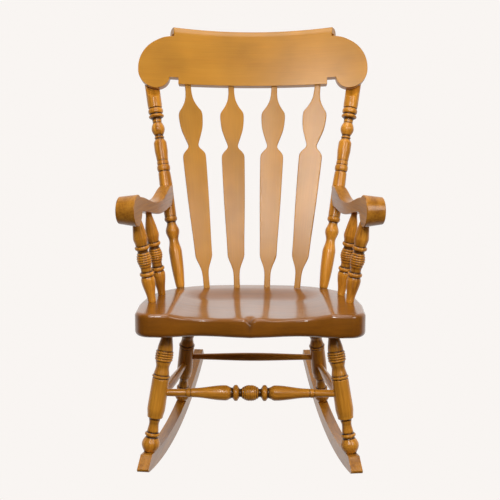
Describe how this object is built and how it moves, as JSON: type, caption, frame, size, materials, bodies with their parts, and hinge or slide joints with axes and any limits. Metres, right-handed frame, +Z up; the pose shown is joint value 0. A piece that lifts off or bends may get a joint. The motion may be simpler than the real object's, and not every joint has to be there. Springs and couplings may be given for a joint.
{
  "type": "rocking chair",
  "caption": "Wooden rocking chair with a curved crest rail, arrow-shaped splats, turned posts, scrolled arms, scooped seat and turned legs on bent rockers.",
  "frame": {"origin": "on the floor under the middle of the whole chair, halfway along the rockers", "axes": "+Z up, the sitter faces -Y, +X to the right of someone looking at the chair from the front"},
  "size_m": [0.6508, 0.7708, 1.119],
  "materials": {
    "seat_wood": "satin lacquer over honey stain",
    "back_wood": "satin lacquer over honey stain",
    "turned_wood": "satin lacquer over amber stain, dark glaze in the grooves",
    "plug_wood": "satin lacquer",
    "screw_steel": "zinc plated"
  },
  "bodies": {
    "root": {"seat": "seat_wood", "crest_rail": "back_wood", "splat_left_outer": "back_wood", "splat_left_inner": "back_wood", "splat_right_inner": "back_wood", "splat_right_outer": "back_wood", "back_post_left": "turned_wood", "back_post_right": "turned_wood", "arm_left": "turned_wood", "arm_right": "turned_wood", "arm_spindle_front_left": "turned_wood", "arm_spindle_front_right": "turned_wood", "arm_spindle_rear_left": "turned_wood", "arm_spindle_rear_right": "turned_wood", "front_leg_left": "turned_wood", "front_leg_right": "turned_wood", "rear_leg_left": "turned_wood", "rear_leg_right": "turned_wood", "front_stretcher": "turned_wood", "rear_stretcher": "turned_wood", "side_stretcher_left": "turned_wood", "side_stretcher_right": "turned_wood", "rocker_left": "turned_wood", "rocker_right": "turned_wood", "crest_screws": "screw_steel", "crest_plugs": "plug_wood", "arm_screws": "screw_steel", "arm_plugs": "plug_wood", "rocker_screws": "screw_steel"}
  },
  "joints": []
}
